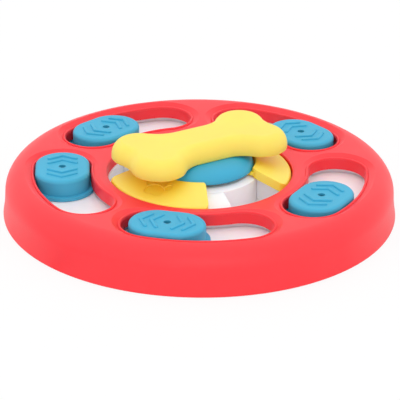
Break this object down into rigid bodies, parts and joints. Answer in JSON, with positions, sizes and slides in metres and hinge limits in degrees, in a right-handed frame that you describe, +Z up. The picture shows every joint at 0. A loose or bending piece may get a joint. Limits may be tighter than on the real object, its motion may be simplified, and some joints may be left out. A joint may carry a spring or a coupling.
{
  "type": "dog puzzle feeder toy",
  "caption": "Round dog puzzle feeder: a shallow red tray with sliding blue covers in curved slots and a yellow centre lid turned by a bone-shaped handle over treat wells.",
  "frame": {"origin": "centre of the toy on the surface it stands on, at the underside of the rubber feet", "axes": "+Z up along the lid's turning axis, -Y towards the front slot, +X to the right"},
  "size_m": [0.2446, 0.2446, 0.0509],
  "materials": {
    "red_plastic": "satin moulded, self-coloured coral red",
    "white_plastic": "satin moulded, white",
    "yellow_plastic": "soft satin moulded, yellow",
    "blue_plastic": "soft satin moulded, sky blue",
    "soft_blue": "matte soft-touch moulded, sky blue",
    "squeaker_plastic": "plain, dark blue",
    "bush_plastic": "natural acetal",
    "screw_steel": "zinc plated",
    "foot_rubber": "matte non-slip rubber"
  },
  "bodies": {
    "base": {"red_cover": "red_plastic", "white_tray": "white_plastic", "treat_bowl": "white_plastic", "well_floor": "white_plastic", "well_ribs": "white_plastic", "well_hub": "white_plastic", "pivot_bush": "bush_plastic", "pivot_washer": "screw_steel", "pivot_screw": "screw_steel", "cover_screws": "screw_steel", "rubber_feet": "foot_rubber"},
    "lid": {"treat_lid": "yellow_plastic", "blue_disc": "blue_plastic", "bone_upper": "yellow_plastic", "bone_lower": "yellow_plastic", "disc_screws": "screw_steel", "bone_screws": "screw_steel"},
    "slider_front": {"slider_cap_front": "soft_blue", "slider_plate_front": "blue_plastic", "slider_squeaker_front": "squeaker_plastic", "slider_screws_front": "screw_steel"},
    "slider_right": {"slider_cap_right": "soft_blue", "slider_plate_right": "blue_plastic", "slider_squeaker_right": "squeaker_plastic", "slider_screws_right": "screw_steel"},
    "slider_back_right": {"slider_cap_back_right": "soft_blue", "slider_plate_back_right": "blue_plastic", "slider_squeaker_back_right": "squeaker_plastic", "slider_screws_back_right": "screw_steel"},
    "slider_back_left": {"slider_cap_back_left": "soft_blue", "slider_plate_back_left": "blue_plastic", "slider_squeaker_back_left": "squeaker_plastic", "slider_screws_back_left": "screw_steel"},
    "slider_left": {"slider_cap_left": "soft_blue", "slider_plate_left": "blue_plastic", "slider_squeaker_left": "squeaker_plastic", "slider_screws_left": "screw_steel"}
  },
  "joints": [
    {"name": "lid_turn", "type": "hinge", "parent": "base", "child": "lid", "pos_m": [0, 0, 0.0295], "axis": [0, 0, 1], "continuous": true},
    {"name": "slider_front_travel", "type": "hinge", "parent": "base", "child": "slider_front", "pos_m": [0, 0, 0.0178], "axis": [0, 0, 1], "range_deg": [-2.8, 26.6]},
    {"name": "slider_right_travel", "type": "hinge", "parent": "base", "child": "slider_right", "pos_m": [0, 0, 0.0178], "axis": [0, 0, 1], "range_deg": [-3.3, 26.1]},
    {"name": "slider_back_right_travel", "type": "hinge", "parent": "base", "child": "slider_back_right", "pos_m": [0, 0, 0.0178], "axis": [0, 0, 1], "range_deg": [-1.9, 27.5]},
    {"name": "slider_back_left_travel", "type": "hinge", "parent": "base", "child": "slider_back_left", "pos_m": [0, 0, 0.0178], "axis": [0, 0, 1], "range_deg": [-25, 4.4]},
    {"name": "slider_left_travel", "type": "hinge", "parent": "base", "child": "slider_left", "pos_m": [0, 0, 0.0178], "axis": [0, 0, 1], "range_deg": [-0.1, 29.3]}
  ]
}
